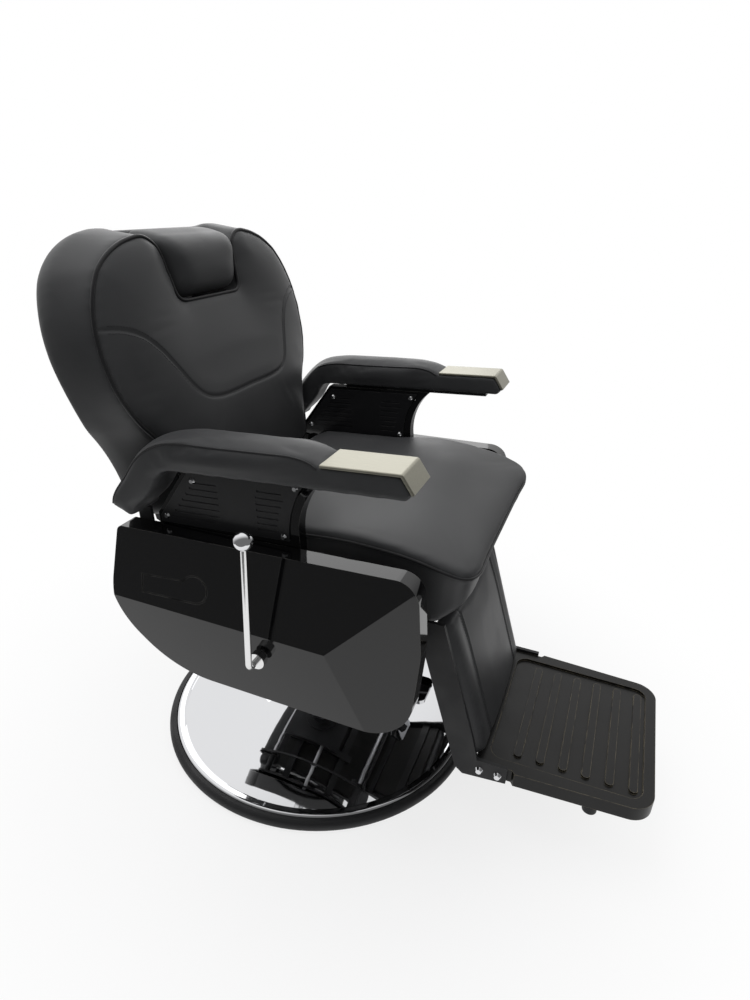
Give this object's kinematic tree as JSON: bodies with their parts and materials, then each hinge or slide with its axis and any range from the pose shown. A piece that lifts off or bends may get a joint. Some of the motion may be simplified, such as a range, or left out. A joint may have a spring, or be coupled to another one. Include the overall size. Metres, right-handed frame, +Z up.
{
  "type": "barber chair",
  "caption": "Black upholstered barber chair on a hydraulic pedestal, with reclining back, linked legrest and footplate, sliding headrest, padded arms and a recline lever.",
  "frame": {"origin": "centre of the base on the floor", "axes": "+Z up, the chair faces -Y, the sitter's right hand is at -X"},
  "size_m": [0.748, 1.095, 1.036],
  "materials": {
    "leatherette": "satin",
    "cap_metal": "brushed",
    "satin_black": "satin",
    "gloss_black": "gloss",
    "powder_black": "powder coated",
    "footplate_black": "satin",
    "chrome": "polished",
    "lever_chrome": "satin",
    "steel": "turned",
    "rubber": "matt",
    "board_black": "painted black"
  },
  "bodies": {
    "base": {"base_rim": "rubber", "base_dome": "chrome", "base_plate": "steel", "pump_cylinder": "gloss_black", "pump_bolts": "steel", "pump_gland": "chrome", "gland_seal": "rubber", "dome_collar": "chrome", "pedal_bracket": "powder_black", "pedal_pin": "steel"},
    "pedal": {"pedal_arm": "powder_black", "pedal_pad": "chrome"},
    "column": {"piston_rod": "chrome", "piston_head": "steel", "piston_seal": "rubber", "thrust_bearing": "steel", "spigot_nut": "steel"},
    "seat_frame": {"swivel_head": "powder_black", "seat_frame": "powder_black", "recline_axle": "steel", "legrest_axle": "steel", "axle_spacers": "powder_black", "seat_board": "board_black", "seat_cushion": "leatherette", "arm_screws": "chrome", "side_plate_right": "powder_black", "side_plate_left": "powder_black", "arm_frame_right": "gloss_black", "arm_frame_left": "gloss_black", "arm_panel_outer_right": "satin_black", "arm_panel_outer_left": "satin_black", "arm_panel_inner_right": "satin_black", "arm_panel_inner_left": "satin_black", "arm_pad_right": "leatherette", "arm_pad_left": "leatherette", "arm_cap_right": "cap_metal", "arm_cap_left": "cap_metal", "side_cover_right": "gloss_black", "side_cover_left": "gloss_black"},
    "recline_lever": {"lever_shaft": "steel", "lever_rod": "lever_chrome", "lever_knob": "chrome", "lock_cam": "steel"},
    "backrest": {"back_frame": "powder_black", "back_board": "board_black", "back_shell": "leatherette", "back_cushion": "leatherette", "headrest_guide": "steel"},
    "headrest": {"headrest_pillow": "leatherette", "headrest_slide": "steel"},
    "legrest": {"legrest_bar_right": "powder_black", "legrest_bar_left": "powder_black", "legrest_cross_bars": "powder_black", "legrest_board": "board_black", "legrest_pad": "leatherette", "footplate": "footplate_black", "footplate_bolts": "chrome", "footplate_bumpers": "rubber"},
    "recline_link": {"link_bar_right": "powder_black", "link_bar_left": "powder_black"}
  },
  "joints": [
    {"name": "lift", "type": "slide", "parent": "base", "child": "column", "axis": [0, 0, 1], "range_m": [0, 0.16]},
    {"name": "swivel", "type": "hinge", "parent": "column", "child": "seat_frame", "pos_m": [0, 0, 0.3], "axis": [0, 0, 1], "continuous": true},
    {"name": "recline", "type": "hinge", "parent": "seat_frame", "child": "backrest", "pos_m": [0, 0.185, 0.52], "axis": [-1, 0, 0], "range_deg": [0, 50]},
    {"name": "legrest_swing", "type": "hinge", "parent": "seat_frame", "child": "legrest", "pos_m": [0, -0.255, 0.39], "axis": [-1, 0, 0], "range_deg": [0, 50]},
    {"name": "link_swing", "type": "hinge", "parent": "backrest", "child": "recline_link", "pos_m": [0, 0.21881, 0.44749], "axis": [-1, 0, 0], "range_deg": [-50, 0]},
    {"name": "headrest_slide", "type": "slide", "parent": "backrest", "child": "headrest", "axis": [0, 0.2689, 0.9632], "range_m": [0, 0.1]},
    {"name": "recline_lever", "type": "hinge", "parent": "seat_frame", "child": "recline_lever", "pos_m": [0, -0.049, 0.412], "axis": [-1, 0, 0], "range_deg": [0, 25], "stiffness_Nm_per_rad": 12, "springref_deg": -2.86},
    {"name": "pump_pedal", "type": "hinge", "parent": "base", "child": "pedal", "pos_m": [0, -0.084, 0.132], "axis": [1, 0, 0], "range_deg": [0, 18], "stiffness_Nm_per_rad": 20, "springref_deg": -8.59}
  ],
  "couplings": [
    {"joint": "legrest_swing", "follows": "recline", "ratio": 1},
    {"joint": "link_swing", "follows": "recline", "ratio": -1}
  ]
}
